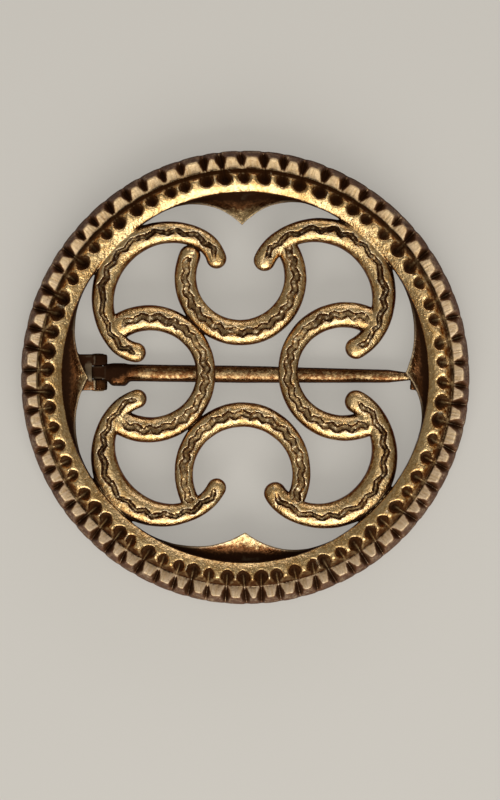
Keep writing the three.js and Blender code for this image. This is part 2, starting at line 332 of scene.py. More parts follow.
def ribbon_group(name, arc, arcs, back, tip, height, line):
    """A ribbon: its rounded bar, and the cut of the graver's line that wanders along it."""
    t = NodeTree.geometry(name)
    place = t.input("Position", "Vector")
    depth, width = t.input("Line depth"), t.input("Line width")
    seed = t.input("Seed")
    x, y, z = t.separate(place)
    nearest, along, outward, whole = ribbon_in_plan(t, arc, x, y, arcs)
    swell = t.math("SINE", t.clamp(along / whole, 0.0, 1.0) * math.pi) ** 3
    half = swell * ((back - tip) / 2) + tip / 2
    edge = nearest - half - SKIN
    corner = half * RIBBON_CORNER
    over_x = edge + corner
    over_z = z - (corner * -1 + (RIBBON_LOW + height))
    bar = t.length(t.max(over_x, 0.0), t.max(over_z, 0.0)) + t.min(t.max(over_x, over_z), 0.0) - corner
    bar = t.max(bar, RIBBON_LOW - z, 0.12)

    period, swing, shift, flat, margin = line
    hand = t.noise(along + seed * 7.3, 1 / period * 0.45, 1.0, dimensions="1D") - 0.5
    wave = t.math("PINGPONG", along + hand * (period * 0.6), period / 2) * (4 / period) - 1
    side = outward - (wave * (hand * 0.8 + 1) * swing + swell * shift)
    chatter = t.noise(place, 2.4, 1.0) - 0.5
    pressure = hand * 0.8 + chatter * 0.9 + 1
    slope = depth * 2 / width
    floor = RIBBON_LOW + height - depth * pressure
    away = t.max(t.math("SQRT", side * side + BLADE_TIP) - flat - chatter * 0.1, 0.0)
    run_out = t.max(margin - along, 0.0) + t.max(along - (whole - margin), 0.0)
    cut = floor + away * slope + run_out * 0.8
    t.output("Bar", bar)
    t.output("Cut", (z - cut) / t.math("SQRT", slope * slope + 1))
    return t


def face(r, z, first, second):
    """Distance outside the straight face between two corners of the rim's section."""
    run, rise = second[0] - first[0], second[1] - first[1]
    size = math.hypot(run, rise)
    return (r - first[0]) * (rise / size) - (z - first[1]) * (run / size)


def ease_field(t, value, low, high):
    """0 below low, 1 above high, and an even rise between."""
    return t.clamp((value - low) / (high - low), 0.0, 1.0)


def rim_group():
    """The toothed rim: two crests with notches across them, an inner band, and a hollow back."""
    t = NodeTree.geometry("Rim")
    r, z, bearing = t.input("Radius"), t.input("Z"), t.input("Bearing")
    count, slope = t.input("Tooth count"), t.input("Notch slope")
    seed = t.input("Seed")
    outer = t.max(face(r, z, SHOULDER, OUTER_CREST), face(r, z, OUTER_CREST, VALLEY), 0.4)
    drop = t.max(INNER_CREST[0] - r, 0.0)
    lean = drop * (2 * BAND_FALL)
    crown = (z - (INNER_CREST[1] - drop * drop * BAND_FALL)) / t.math("SQRT", lean * lean + 1)
    inner = t.max(face(r, z, VALLEY, INNER_CREST), crown, 0.25)
    solid = t.max(t.min(outer, inner, 0.08), r - (RIM_RADIUS - SKIN), 0.1)
    solid = t.max(solid, INNER_RADIUS - r, 0.14)

    turned = bearing / DEGREE - TOOTH_START
    for turns, swing, phase in TOOTH_DRIFT:
        turned = turned - t.math("COSINE", bearing * turns - phase * DEGREE) * swing
    phase = turned * count / 360
    tooth = t.math("FLOORED_MODULO", t.math("FLOOR", phase) + 0.5, count)
    offset = t.math("FRACT", phase) - 0.5

    def hand(step, reach):
        """A small fixed unevenness for each tooth."""
        inputs = {2: -reach, 3: reach, "ID": tooth, "Seed": seed + step}
        return t.value("FunctionNodeRandomValue", inputs, output=1, data_type="FLOAT")

    uncut = solid
    along = (offset - hand(1, TOOTH_SHIFT)) * r * (TURN / TOOTH_COUNT)
    along = along + (r - VALLEY[0]) * hand(3, TOOTH_LEAN)
    climb = t.max(r * -1 + NOTCH_CREST, 0.0)
    band = INNER_CREST[1] - (INNER_CREST[0] - NOTCH_APEX) ** 2 * BAND_FALL
    rise = climb * climb * ((band - NOTCH_FLOOR) / (NOTCH_CREST - NOTCH_APEX) ** 2) + NOTCH_FLOOR
    fall = (r - VALLEY[0]) * -NOTCH_FALL + NOTCH_TURN
    floor = t.min(rise, fall, 0.1) + hand(2, TOOTH_DEPTH)
    steep = slope * (ease_field(t, r, VALLEY[0] - 0.4, VALLEY[0] + 0.2) * NOTCH_GAIN + NOTCH_INNER)
    blade = t.math("SQRT", along * along + NOTCH_ROUND ** 2) - NOTCH_ROUND
    cut = floor + blade * steep
    solid = t.max(solid, (z - cut) / t.math("SQRT", steep * steep + 1), NOTCH_WORN)
    wall = (HOLLOW_FOOT - r) - z * ((HOLLOW_FOOT - HOLLOW_TOP) / FLANGE)
    solid = t.max(solid, t.min(FLANGE - z, wall, 0.2), 0.15)
    t.output("Distance", solid)
    t.output("Uncut", uncut)
    return t


def cusp_group():
    """A pointed leaf on the rim's inner edge: a hollowed plate with a raised lip."""
    t = NodeTree.geometry("Cusp")
    r, z, bearing = t.input("Radius"), t.input("Z"), t.input("Bearing")
    at, reach, before, after = (t.input(name) for name in ("At", "Reach", "Before", "After"))
    turn = t.math("WRAP", bearing - at, math.pi, -math.pi)
    spread = t.choose(turn < 0.0, after, before)
    share = t.clamp(1 - abs(turn) / spread, 0.0, 1.0)
    lean = reach * share * 2 / (spread * t.max(r, 1.0))
    edge = (INNER_RADIUS - reach * share * share - r) / t.math("SQRT", lean * lean + 1)
    lip = t.math("EXPONENT", (edge / CUSP_LIP_WIDTH) * (edge / -CUSP_LIP_WIDTH)) * CUSP_LIP
    dish = t.math("EXPONENT", (edge / CUSP_DISH_WIDTH) * (edge / -CUSP_DISH_WIDTH)) * CUSP_DISH
    top = (z - (lip + dish + CUSP_TOP)) * 0.85
    plate = t.max(t.max(edge, r - CUSP_ROOT), t.max(top, FLANGE - z), 0.14)
    t.output("Distance", t.max(plate, (abs(turn) - spread) * 8, 0.0))
    return t


def lug_field(t, x, y, z, side):
    """A lug of the hinge: a rounded plate around the rivet, rooted under the cusp."""
    middle = PIVOT[1] + side * (LUG_GAP + LUG_THICKNESS) / 2
    disc = t.length(x - PIVOT[0], z - PIVOT[2]) - (LUG_RADIUS - SKIN)
    root_from, root_to = PIVOT[0] - LUG_REACH + 0.1, PIVOT[0] - 0.2
    arm = t.max(
        abs(x - (root_from + root_to) / 2) - (root_to - root_from) / 2,
        abs(z - (WEB_LOW + WEB_HIGH) / 2) - (WEB_HIGH - WEB_LOW) / 2, 0.1,
    )
    outline = t.min(disc, arm, 0.9)
    return t.max(outline, abs(y - middle) - (LUG_THICKNESS / 2 + SKIN / 2), LUG_WORN)


def web_field(t, x, y, z):
    """The web of metal that joins the two lugs under the cusp, clear of the needle's eye."""
    root = PIVOT[0] - LUG_REACH + 0.2

    def slab(edge, low, high):
        return t.max(
            abs(x - (root + edge) / 2) - (edge - root) / 2,
            abs(z - (low + high) / 2) - (high - low) / 2, 0.05,
        )

    web = t.min(slab(WEB_EDGE, WEB_LOW, WEB_HIGH), slab(BROW_EDGE, BROW_LOW, WEB_HIGH), 0.05)
    return t.max(web, abs(y - PIVOT[1]) - (LUG_GAP / 2 + LUG_THICKNESS - SKIN), 0.2)


def catch_field(t, x, y, z):
    """The catch: an upside-down U under the far cusp, which the needle's point lies in."""
    middle = PIVOT[1] + NEEDLE_LEAN * ((CATCH_FROM + CATCH_TO) / 2 - PIVOT[0])
    half = CATCH_SLOT / 2
    across = abs(y - middle)
    block = t.max(
        abs(x - (CATCH_FROM + CATCH_TO) / 2) - ((CATCH_TO - CATCH_FROM) / 2 - SKIN),
        across - (half + CATCH_CHEEK - SKIN), 0.25,
    )
    tall = abs(z - (CATCH_LOW + CATCH_ROOT) / 2) - ((CATCH_ROOT - CATCH_LOW) / 2 - SKIN)
    slot = t.max(across - half, z - CATCH_SEAT, 0.2)
    return t.max(t.max(block, tall, 0.35), -slot, 0.2)


def body_group():
    """The whole cast body as one distance field, negative inside the metal, in millimetres."""
    arc = arc_group()
    rim = rim_group()
    cusp = cusp_group()
    t = NodeTree.geometry("Brooch body")
    place = t.input("Position", "Vector")
    count, slope = t.input("Tooth count"), t.input("Notch slope")
    depth, width = t.input("Line depth"), t.input("Line width")
    uneven, seed = t.input("Unevenness"), t.input("Seed")
    x, y, z = t.separate(place)
    flat_x, flat_y = x / OVAL[0], y / OVAL[1]
    r = t.length(flat_x, flat_y)
    bearing = t.math("ARCTAN2", flat_y, flat_x)
    ring = t.call(
        rim, Radius=r, Z=z, Bearing=bearing, Tooth_count=count, Notch_slope=slope, Seed=seed,
    )
    metal, uncut = ring["Distance"], ring["Uncut"]
    leaves = None
    for at, reach, before, after in CUSPS:
        leaf = t.call(
            cusp, Radius=r, Z=z, Bearing=bearing, At=at * DEGREE, Reach=reach,
            Before=before * DEGREE, After=after * DEGREE,
        )["Distance"]
        leaves = leaf if leaves is None else t.min(leaves, leaf)
    metal = t.min(metal, leaves, 0.12)

    bows = crescents = grooves = None
    for number, bow in enumerate(BOWS, 1):
        centre, radius, first, last, back, tip = bow
        group = ribbon_group(
            f"Bow {number}", arc, [(centre, radius, first, last)], back, tip, BOW_HEIGHT, BOW_LINE,
        )
        here = t.call(
            group, Position=place, Line_depth=depth, Line_width=width * BOW_LINE_SHARE, Seed=seed + number,
        )
        uncut = t.min(uncut, here["Bar"])
        carved = t.max(here["Bar"], here["Cut"], 0.04)
        bows = carved if bows is None else t.min(bows, carved, 0.14)
    for number, crescent in enumerate(CRESCENTS, 5):
        group = ribbon_group(
            f"Crescent {number - 4}", arc, crescent_arcs(crescent), crescent[6], crescent[7],
            CRESCENT_HEIGHT, CRESCENT_LINE,
        )
        here = t.call(group, Position=place, Line_depth=depth, Line_width=width, Seed=seed + number)
        uncut = t.min(uncut, here["Bar"])
        groove = t.max(-here["Cut"], here["Bar"] - 0.3)
        crescents = here["Bar"] if crescents is None else t.min(crescents, here["Bar"])
        grooves = groove if grooves is None else t.min(grooves, groove)
    ribbons = t.min(bows, crescents, 0.16)
    metal = t.min(metal, ribbons, 0.4)
    metal = t.max(metal, -grooves, 0.04)
    for side in (-1, 1):
        metal = t.min(metal, lug_field(t, x, y, z, side), 0.35)
    metal = t.min(metal, web_field(t, x, y, z), 0.1)
    metal = t.min(metal, catch_field(t, x, y, z), 0.35)
    bore = t.min(BORE_RADIUS - t.length(x - PIVOT[0], z - PIVOT[2]), BORE_REACH - abs(y - PIVOT[1]))
    metal = t.max(metal, bore, 0.06)
    metal = metal + (t.noise(place, 0.55, 3.0, 0.5) - 0.5) * uneven + SKIN
    t.output("Distance", t.max(metal, -z))
    t.output("Sunk", t.max(-uncut, 0.0))
    # Leaf rises towards the rim wall over each cusp and carries painted shade on the cusp plates
    t.output("Leaf", t.clamp(r - (INNER_RADIUS - CUSP_SHADE), 0.0, CUSP_SHADE) * (leaves < 0.1) / CUSP_SHADE)
    return t


# ------------------------------------------------------------------ the needle's and the rivet's shapes

SHANK_RADIUS, TAPER_RADIUS = 0.87, 0.66
HEAD_START, HEAD_END, HEAD_HALF, HEAD_DROP = -12.7, -10.85, 1.06, 0.22
HEAD_CORNER = 0.5
TAPER_END, POINT_X = 14.5, 17.1
POINT_LEAD = 1.2  # the point starts to narrow this far before the taper's end
POINT_POWER = 0.62  # under 1, so that its outline is rounded
EYE_WIDTH = 1.1
RIVET_RADIUS = 0.42
RIVET_DOME, RIVET_FLAT = 0.08, 0.13  # rise of a hammered end, and how much flatter than round it is
RIVET_OVERLAP = 0.02
RIVET_UNEVEN, RIVET_CELL, RIVET_TRIANGLES, RIVET_MARGIN = 0.02, 0.035, 9000, 0.4


def needle_group():
    """The needle: a rounded eye, a head wider on one side, and a shank drawn out to a point."""
    t = NodeTree.geometry("Needle shape")
    place = t.input("Position", "Vector")
    uneven = t.input("Unevenness")
    x, y, z = t.separate(place)
    middle = (x - PIVOT[0]) * NEEDLE_LEAN + PIVOT[1]
    high = z - PIVOT[2]
    slim = t.clamp(x / TAPER_END, 0.0, 1.0) * (SHANK_RADIUS - TAPER_RADIUS)
    left = t.clamp((POINT_X - x) / (POINT_X - TAPER_END + POINT_LEAD), 0.0, 1.0)
    point = t.math("POWER", left, POINT_POWER)
    radius = (SHANK_RADIUS - SKIN - slim) * point
    shank = t.max((t.length(y - middle, high) - radius) * 0.9, PIVOT[0] + 0.6 - x, 0.2)
    head_middle = middle - HEAD_DROP
    beyond_x = t.max(abs(x - (HEAD_START + HEAD_END) / 2) - ((HEAD_END - HEAD_START) / 2 - HEAD_CORNER), 0.0)
    beyond_y = t.max(abs(y - head_middle) - (HEAD_HALF - HEAD_CORNER), 0.0)
    head = t.length(beyond_x, beyond_y, high * (HEAD_CORNER / SHANK_RADIUS)) - HEAD_CORNER
    eye = t.max(
        t.length(x - PIVOT[0], high) - LUG_RADIUS,
        abs(y - PIVOT[1]) - (EYE_WIDTH / 2 + 2 * SKIN), 0.1,
    )
    metal = t.min(t.min(shank, head, 0.5), eye, 0.4)
    metal = t.max(metal, BORE_RADIUS - t.length(x - PIVOT[0], high), 0.05)
    t.output("Distance", metal + (t.noise(place, 0.6, 1.0) - 0.5) * uneven + SKIN)
    return t


def rivet_group():
    """The rivet: a short pin with its two ends hammered into low domes."""
    t = NodeTree.geometry("Rivet shape")
    place = t.input("Position", "Vector")
    uneven = t.input("Unevenness")
    x, y, z = t.separate(place)
    radial = t.length(x - PIVOT[0], z - PIVOT[2])
    half = LUG_GAP / 2 + LUG_THICKNESS
    beyond = abs(y - PIVOT[1])
    pin = t.max(radial - (RIVET_RADIUS - SKIN), beyond - half, 0.0)
    dome = t.length(radial * RIVET_FLAT, t.max(beyond - (half - RIVET_OVERLAP), 0.0)) - RIVET_DOME
    dome = t.max(dome, half - RIVET_OVERLAP - beyond, 0.04)
    t.output("Distance", t.min(pin, dome, 0.05) + (t.noise(place, 1.1, 1.0) - 0.5) * uneven)
    return t


# ------------------------------------------------------------------ skinning a shape

SLOPE_STEP = 0.02
AXES = [(1, 0, 0), (0, 1, 0), (0, 0, 1)]
SETTLE_REACH = 0.1  # a point moves this far at most in one step
RECESS_REACH, EDGE_REACH = 0.3, 0.14  # how far out and in the shape is probed for recesses and edges


def measure(t, shape, place, settings):
    """The distance field at a place in millimetres, and its slope there."""
    here = t.call(shape, Position=place, **settings)["Distance"]
    slopes = []
    for axis in AXES:
        beside = t.vector("ADD", place, tuple(SLOPE_STEP * part for part in axis))
        slopes.append((t.call(shape, Position=beside, **settings)["Distance"] - here) / SLOPE_STEP)
    return here, t.combine(*slopes)


def settle(t, geometry, shape, settings):
    """Moves every point of a skin straight onto the surface of its shape."""
    place = t.vector("SCALE", t.value("GeometryNodeInputPosition"), scale=1 / MM)
    here, slope = measure(t, shape, place, settings)
    steep = t.value("ShaderNodeVectorMath", {0: slope, 1: slope}, output=1, operation="DOT_PRODUCT")
    reach = t.clamp(here / t.max(steep, 0.3), -SETTLE_REACH, SETTLE_REACH) * -MM
    offset = t.vector("SCALE", slope, scale=reach)
    return t.value("GeometryNodeSetPosition", {"Geometry": geometry, "Offset": offset})


def share_settings(t, settings):
    """The tree's named inputs for a shape, to be passed on to its group."""
    return {name.replace(" ", "_"): t.input(name, default=default) for name, default in settings.items()}


def skin_tree(name, shape, settings):
    """A tree that fills a box with a shape's field and skins it where the field is zero."""
    t = NodeTree.geometry(name)
    low, high = t.input("Lowest corner", "Vector"), t.input("Highest corner", "Vector")
    cell = t.input("Cell", default=0.1)
    settings = share_settings(t, settings)
    place = t.value("GeometryNodeInputPosition")
    inside = -t.call(shape, Position=place, **settings)["Distance"]
    steps = [size / cell for size in t.separate(t.vector("SUBTRACT", high, low))]
    block = t.value("GeometryNodeVolumeCube", {
        "Density": inside, "Background": -1.0, "Min": low, "Max": high,
        "Resolution X": steps[0], "Resolution Y": steps[1], "Resolution Z": steps[2],
    })
    skin = t.value("GeometryNodeVolumeToMesh", {"Volume": block, "Threshold": 0.0})
    skin = t.value("GeometryNodeTransform", {"Geometry": skin, "Scale": (MM, MM, MM)})
    for _ in range(2):
        skin = settle(t, skin, shape, settings)
    t.output("Geometry", skin, "Geometry")
    return t


def store(t, geometry, name, value, kind="FLOAT"):
    """The geometry with a named attribute on its points."""
    inputs = {"Geometry": geometry, "Name": name, "Value": value}
    return t.value("GeometryNodeStoreNamedAttribute", inputs, data_type=kind, domain="POINT")


def finish_tree(name, shape, settings, notes, material):
    """A tree that settles a thinned skin again and notes its normals, recesses, convex edges (worn, and
    given painted highlights) and cuts.
    """
    t = NodeTree.geometry(name)
    skin = t.input("Geometry", "Geometry")
    settings = share_settings(t, settings)
    skin = settle(t, settle(t, skin, shape, settings), shape, settings)
    place = t.vector("SCALE", t.value("GeometryNodeInputPosition"), scale=1 / MM)
    _, slope = measure(t, shape, place, settings)
    normal = t.vector("NORMALIZE", slope)
    steepness = t.max(t.length(*t.separate(slope)), 0.2)

    def level(reach):
        """The field a little way along the normal, as a share of what a flat face would give."""
        probe = t.vector("ADD", place, t.vector("SCALE", normal, scale=reach))
        return t.call(shape, Position=probe, **settings)["Distance"] / (steepness * abs(reach))

    skin = store(t, skin, "skin_normal", normal, "FLOAT_VECTOR")
    skin = store(t, skin, "upward", t.separate(normal)[2])
    skin = store(t, skin, "recess", t.clamp(1 - level(RECESS_REACH), 0.0, 1.0))
    skin = store(t, skin, "edge", t.clamp(1 + level(-EDGE_REACH), 0.0, 1.0))
    at_skin = t.call(shape, Position=place, **settings)
    for note in notes:
        skin = store(t, skin, note.lower(), at_skin[note])
    skin = t.value("GeometryNodeRealizeInstances", {"Geometry": skin})
    skin = t.value("GeometryNodeSetMaterial", {"Geometry": skin, "Material": material})
    t.output("Geometry", skin, "Geometry")
    return t


def add_tree(piece, name, tree, values):
    """A Geometry Nodes modifier with its inputs set by identifier."""
    modifier = piece.modifiers.new(name, "NODES")
    modifier.node_group = tree.tree
    for item in tree.tree.interface.items_tree:
        if item.in_out == "INPUT" and item.name in values:
            modifier[item.identifier] = values[item.name]
    return modifier


def shape_piece(name, shape, settings, box, cell, triangles, material, notes=()):
    """A finished mesh of a shape: skinned, thinned to a number of triangles and settled."""
    piece = bpy.data.objects.new(name, bpy.data.meshes.new(name))
    bpy.context.scene.collection.objects.link(piece)
    margin = 3 * cell
    values = {
        "Lowest corner": [value - margin for value in box[0]],
        "Highest corner": [value + margin for value in box[1]],
        "Cell": cell,
        **settings,
    }
    add_tree(piece, "Skin", skin_tree(name + " skin", shape, settings), values)
    split = piece.modifiers.new("Triangles", "TRIANGULATE")
    split.quad_method = "SHORTEST_DIAGONAL"
    graph = bpy.context.evaluated_depsgraph_get()
    found = len(piece.evaluated_get(graph).data.polygons)
    thin = piece.modifiers.new("Thin", "DECIMATE")
    thin.ratio = min(1.0, triangles / max(found, 1))
    add_tree(piece, "Finish", finish_tree(name + " finish", shape, settings, notes, material), settings)
    graph = bpy.context.evaluated_depsgraph_get()
    mesh = bpy.data.meshes.new_from_object(piece.evaluated_get(graph))
    piece.modifiers.clear()
    piece.data = mesh
    if not mesh.polygons:
        raise RuntimeError(f"{name} came out empty")
    normals = np.zeros(len(mesh.vertices) * 3, np.float32)
    mesh.attributes["skin_normal"].data.foreach_get("vector", normals)
    mesh.attributes.remove(mesh.attributes["skin_normal"])
    mesh.normals_split_custom_set_from_vertices(normals.reshape(-1, 3))
    print(name, found, "->", len(mesh.polygons), "triangles")
    return piece


# ------------------------------------------------------------------ finishes

def blend_colours(t, share, first, second):
    """The first colour where the share is 0, and the second where it is 1."""
    node = t.tree.nodes.new("ShaderNodeMix")
    node.data_type = "RGBA"
    t.feed(node.inputs[0], share)
    for socket, colour in ((node.inputs[6], first), (node.inputs[7], second)):
        t.feed(socket, colour if isinstance(colour, Formula) else (*colour[:3], 1))
    return Formula(t, node.outputs[2])


def ease(t, value, low, high):
    """0 below low, 1 above high, and a smooth rise between."""
    inputs = {"Value": value, "From Min": low, "From Max": high}
    return t.value("ShaderNodeMapRange", inputs, interpolation_type="SMOOTHSTEP")


EDGE_TINT = (0.4, 0.22, 0.12)  # tarnish keeps the metal from flaring where it is seen edge on
FILED_MATT = 0.8  # how far the filed teeth have lost their mirror
BROWN_AND_SHADE_MATT = 0.72  # how far the slopes painted with shade, and the cuts, have lost theirs
SHADED_SIDE = (0.0, 19.0)  # painted shade: the brooch is painted darker towards this end of its width
SHADED_SIDE_DIM, SHADED_SIDE_DARKEN = 0.5, 0.3  # how much the painted shade dims the filed teeth there, and how much it browns them
HINGE_SHADE = (-13.3, 1.7, 4.2)  # painted shade darkens the hinge: its middle and its reach
HINGE_SHADE_SQUASH, HINGE_SHADE_SOLID, HINGE_SHADE_TOP = 1.6, 0.55, 2.5
# Each pair is where a patch of the finish begins to show, and where it is whole.
TONE = (0.42, 0.6)  # the first thin tarnish
FILED_FROM = (0.0, 0.15)  # the filed outer teeth, outwards from the valley
STEEP, FLANK = (0.14, 0.5), (0.5, 0.75)  # slopes, 0 on level metal, 1 on upright metal, 2 underneath: steep ones get tarnish and painted shade, flanks get painted shade
UNDERSIDE_SHADE = (-2.8, -2.35)  # painted shade on the underside, by height counted downwards
RISER = (0.12, 0.4)  # painted shade on the slope between the two rows of teeth, outwards from the inner crest
TARNISH_AND_SHADE, DEEP_SHADE_AND_PATINA = (0.15, 0.8), (0.85, 1.4)  # painted shade and patina in hollows turn the metal brown, and then black
FILE_BITE = (0.36, 0.6)
SUNK_BROWN, SUNK_BLACK = (0.17, 0.45), (0.45, 1.1)  # depth of a cut, in millimetres
RECESS_BLACK = (0.45, 0.85)
# worn edges kept bright, with painted highlights on them
RUBBED_GLINT, RUBBED_GLINT_HEIGHT = (0.1, 0.4), (0.4, 1.2)
PIT = (0.0, 0.18)
# How much each kind of painted shade, and the patina in recesses, counts.
STEEP_SHARE, RECESS_SHARE, LEAF_SHARE, LOW_SHARE = 0.7, 0.45, 1.5, 0.8
FILE_AROUND, FILE_OUTWARD = 4.2, 0.6  # the file's marks are fine around the rim and long across it
SMOOTHEST, ROUGHEST = 0.14, 0.8


def ragged(noise, amount):
    """Noise around 0, to make the edge of a patch uneven."""
    return (noise - 0.5) * amount


def brass_finish(name, finish, wear, edge_rub_and_glint, under, shade_bias=0.0, beaten=1.0):
    """Polished brass that has aged: brown in its hollows, black in its cuts, bright on worn edges.

    Its colour also carries painted shade on slopes, cusps, low parts, the hinge and the far side, and
    painted highlights on edges. wear is how far tarnish and painted shade have gone, handled how brightly
    the worn edges and their painted highlights show, under how dark the painted shade on the underside
    is, dull how much painted shade lies over the whole piece, and beaten how uneven its surface looks.
    """
    material = bpy.data.materials.new(name)
    material.use_nodes = True
    t = NodeTree(material.node_tree)
    shader = material.node_tree.nodes["Principled BSDF"]
    place = t.vector("SCALE", t.value("ShaderNodeTexCoord", output="Object"), scale=1 / MM)

    def noted(attribute):
        return t.value("ShaderNodeAttribute", output="Fac", attribute_name=attribute)

    recess, edge, sunk, leaf = noted("recess"), noted("edge"), noted("sunk"), noted("leaf")
    x, y, z = t.separate(place)
    radial = t.length(x, y)
    around = t.math("ARCTAN2", y, x) * RIM_RADIUS
    clouds = t.noise(place, 0.5, 4.0, 0.6)
    blotches = t.noise(t.vector("ADD", place, (31.0, 7.0, 3.0)), 1.5, 3.0, 0.6)
    grain = t.noise(place, 7.0, 3.0, 0.6)
    streaks = t.noise(t.vector("ADD", place, (5.0, 17.0, 11.0)), 3.2, 2.0, 0.6)
    file_marks = t.noise(t.combine(around * FILE_AROUND, radial * FILE_OUTWARD, 0.0), 1.0, 1.0, 0.6)
    tone = ease(t, clouds * 0.4 + blotches * 0.3 + streaks * 0.3 + ragged(grain, 0.3), *TONE)
    colour = blend_colours(t, tone * 0.8, finish.bright, finish.warm)

    filed = ease(t, radial, VALLEY[0] + FILED_FROM[0], VALLEY[0] + FILED_FROM[1])
    # steep slopes take tarnish and painted shade; flanks take painted shade
    steep = ease(t, 1 - noted("upward"), *STEEP)
    flank = ease(t, 1 - noted("upward"), *FLANK)
    # painted shade around the hinge, over the upper lug, the eye and the needle's head
    away = t.length(x - HINGE_SHADE[0], (y - HINGE_SHADE[1]) * HINGE_SHADE_SQUASH)
    hinge_shade = ease(t, away * -1, -HINGE_SHADE[2], -HINGE_SHADE[2] * HINGE_SHADE_SOLID)
    # painted shade on the low parts: lugs, catch and the lower flanks
    low = ease(t, z * -1, *UNDERSIDE_SHADE) * under * (1 - ease(t, radial, HOLLOW_FOOT, RIM_RADIUS - 0.5))
    # painted shade on the riser between the two rows of teeth
    riser = ease(t, radial, INNER_CREST[0] + RISER[0], INNER_CREST[0] + RISER[1]) * (1 - filed)
    # painted shade on steep slopes, the whole piece, cusps near the rim wall, the hinge and the low parts;
    # patina in recesses
    shade_and_patina = steep * STEEP_SHARE + shade_bias + recess * RECESS_SHARE + leaf * LEAF_SHARE
    shade_and_patina = shade_and_patina + hinge_shade * (z < HINGE_SHADE_TOP) + low * LOW_SHARE
    # random tarnish together with the painted shade above, blended to the aged colour
    tarnish = ease(t, shade_and_patina + ragged(clouds, 0.8) + ragged(streaks, 1.1), *TARNISH_AND_SHADE) * wear
    # painted shade, darker towards the far end of the width
    far = ease(t, y, *SHADED_SIDE)
    shine = (ease(t, file_marks, *FILE_BITE) * 0.5 + 0.45) * (1 - far * SHADED_SIDE_DIM)
    colour = blend_colours(t, filed * shine, colour, finish.filed)
    colour = blend_colours(t, tarnish, colour, finish.aged)
    # the riser and flanks get painted shade in brown; cuts get brown patina
    browned_and_shaded = t.max(t.max(riser, flank), ease(t, sunk + ragged(streaks, 0.3), *SUNK_BROWN))
    browned_and_shaded = browned_and_shaded * (BROWN_AND_SHADE_MATT + far * SHADED_SIDE_DARKEN)
    colour = blend_colours(t, browned_and_shaded, colour, finish.browned_and_shaded)
    cuts = ease(t, sunk + ragged(streaks, 0.5), *SUNK_BLACK)
    soot = t.max(cuts, ease(t, recess - filed * 0.15 + ragged(grain, 0.2), *RECESS_BLACK))
    # the deepest painted shade turns black too
    soot = t.max(soot, ease(t, shade_and_patina + ragged(streaks, 0.8), *DEEP_SHADE_AND_PATINA))
    colour = blend_colours(t, soot, colour, finish.recess)
    # worn edges, with painted highlights on them
    rubbed_glint = ease(t, edge + ragged(blotches, 0.2), *RUBBED_GLINT) * edge_rub_and_glint
    rubbed_glint = rubbed_glint * (1 - hinge_shade * 0.85) * (1 - leaf) * ease(t, z, *RUBBED_GLINT_HEIGHT)
    colour = blend_colours(t, rubbed_glint, colour, finish.rubbed_glint)
    t.feed(shader.inputs["Base Color"], colour)
    t.feed(shader.inputs["Metallic"], 1 - t.max(t.max(soot, browned_and_shaded), filed * FILED_MATT) * (1 - rubbed_glint))
    shader.inputs["Specular Tint"].default_value = (*EDGE_TINT, 1)
    t.feed(shader.inputs["Specular IOR Level"], (1 - t.max(soot, browned_and_shaded)) * 0.3)
    rough = finish.roughness + ragged(clouds, 0.2) + ragged(blotches, 0.16) + soot * 0.25 + filed * 0.2
    t.feed(shader.inputs["Roughness"], t.clamp(rough - rubbed_glint * 0.06, SMOOTHEST, ROUGHEST))

    pits = t.value("ShaderNodeTexVoronoi", {"Vector": place, "Scale": 2.2}, output="Distance")
    pits = ease(t, pits, *PIT)
    height = grain * 0.4 + (streaks + blotches) * (1.2 * beaten) + pits * 0.3 + file_marks * filed * 1.6
    bump = t.node("ShaderNodeBump", {"Height": height, "Strength": 0.9, "Distance": 0.09 * MM})
    material.node_tree.links.new(bump.outputs["Normal"], shader.inputs["Normal"])
    return material


BOARD_GLOW = 0.86  # the board glows with painted light, which softens the shadows on it


def floor_finish(colour):
    """Matt pale board with the faintest mottle, glowing with painted light."""
    material = bpy.data.materials.new("Pale board")
    material.use_nodes = True
    t = NodeTree(material.node_tree)
    shader = material.node_tree.nodes["Principled BSDF"]
    place = t.vector("SCALE", t.value("ShaderNodeTexCoord", output="Object"), scale=1 / MM)
    shade = t.noise(place, 0.05, 2.0, 0.5)
    darker = tuple(part * 0.97 for part in colour[:3])
    t.feed(shader.inputs["Base Color"], blend_colours(t, shade, colour, darker))
    shader.inputs["Roughness"].default_value = 0.95
    shader.inputs["Specular IOR Level"].default_value = 0.0
    shader.inputs["Emission Color"].default_value = (*colour[:3], 1)
    shader.inputs["Emission Strength"].default_value = BOARD_GLOW
    return material


# ------------------------------------------------------------------ settings a user would change

def length(name, description, default):
    """A length property, given in millimetres."""
    return bpy.props.FloatProperty(
        name=name, description=description, default=default * MM, min=0.0, unit="LENGTH", precision=5,
    )


def colour(name, description, default):
    return bpy.props.FloatVectorProperty(
        name=name, description=description, default=default, size=3, min=0.0, max=1.0, subtype="COLOR",
    )


class BroochBodySettings(bpy.types.PropertyGroup):
    """Sizes of the cast body."""

    tooth_count: bpy.props.IntProperty(
        name="Teeth", description="Teeth in each of the rim's two rows", default=TOOTH_COUNT,
        min=12, max=120,
    )
    notch_slope: bpy.props.FloatProperty(
        name="Notch slope", description="Rise of a notch's sides for each unit across", default=3.1,
        min=1, max=6,
    )
    line_depth: length("Line depth", "Depth of the graver's line along the ribbons", 0.34)
    line_width: length("Line width", "Width of the graver's line at the surface", 0.42)
    unevenness: length("Unevenness", "Waviness that the wax left in the surface", 0.1)
    seed: bpy.props.IntProperty(name="Seed", description="Fixes the hand-made irregularity", default=1)
    cell: length("Cell", "Size of the cells that the surface is skinned from", 0.075)
    triangles: bpy.props.IntProperty(
        name="Triangles", description="Triangles kept in the finished body", default=185000, min=20000,
    )


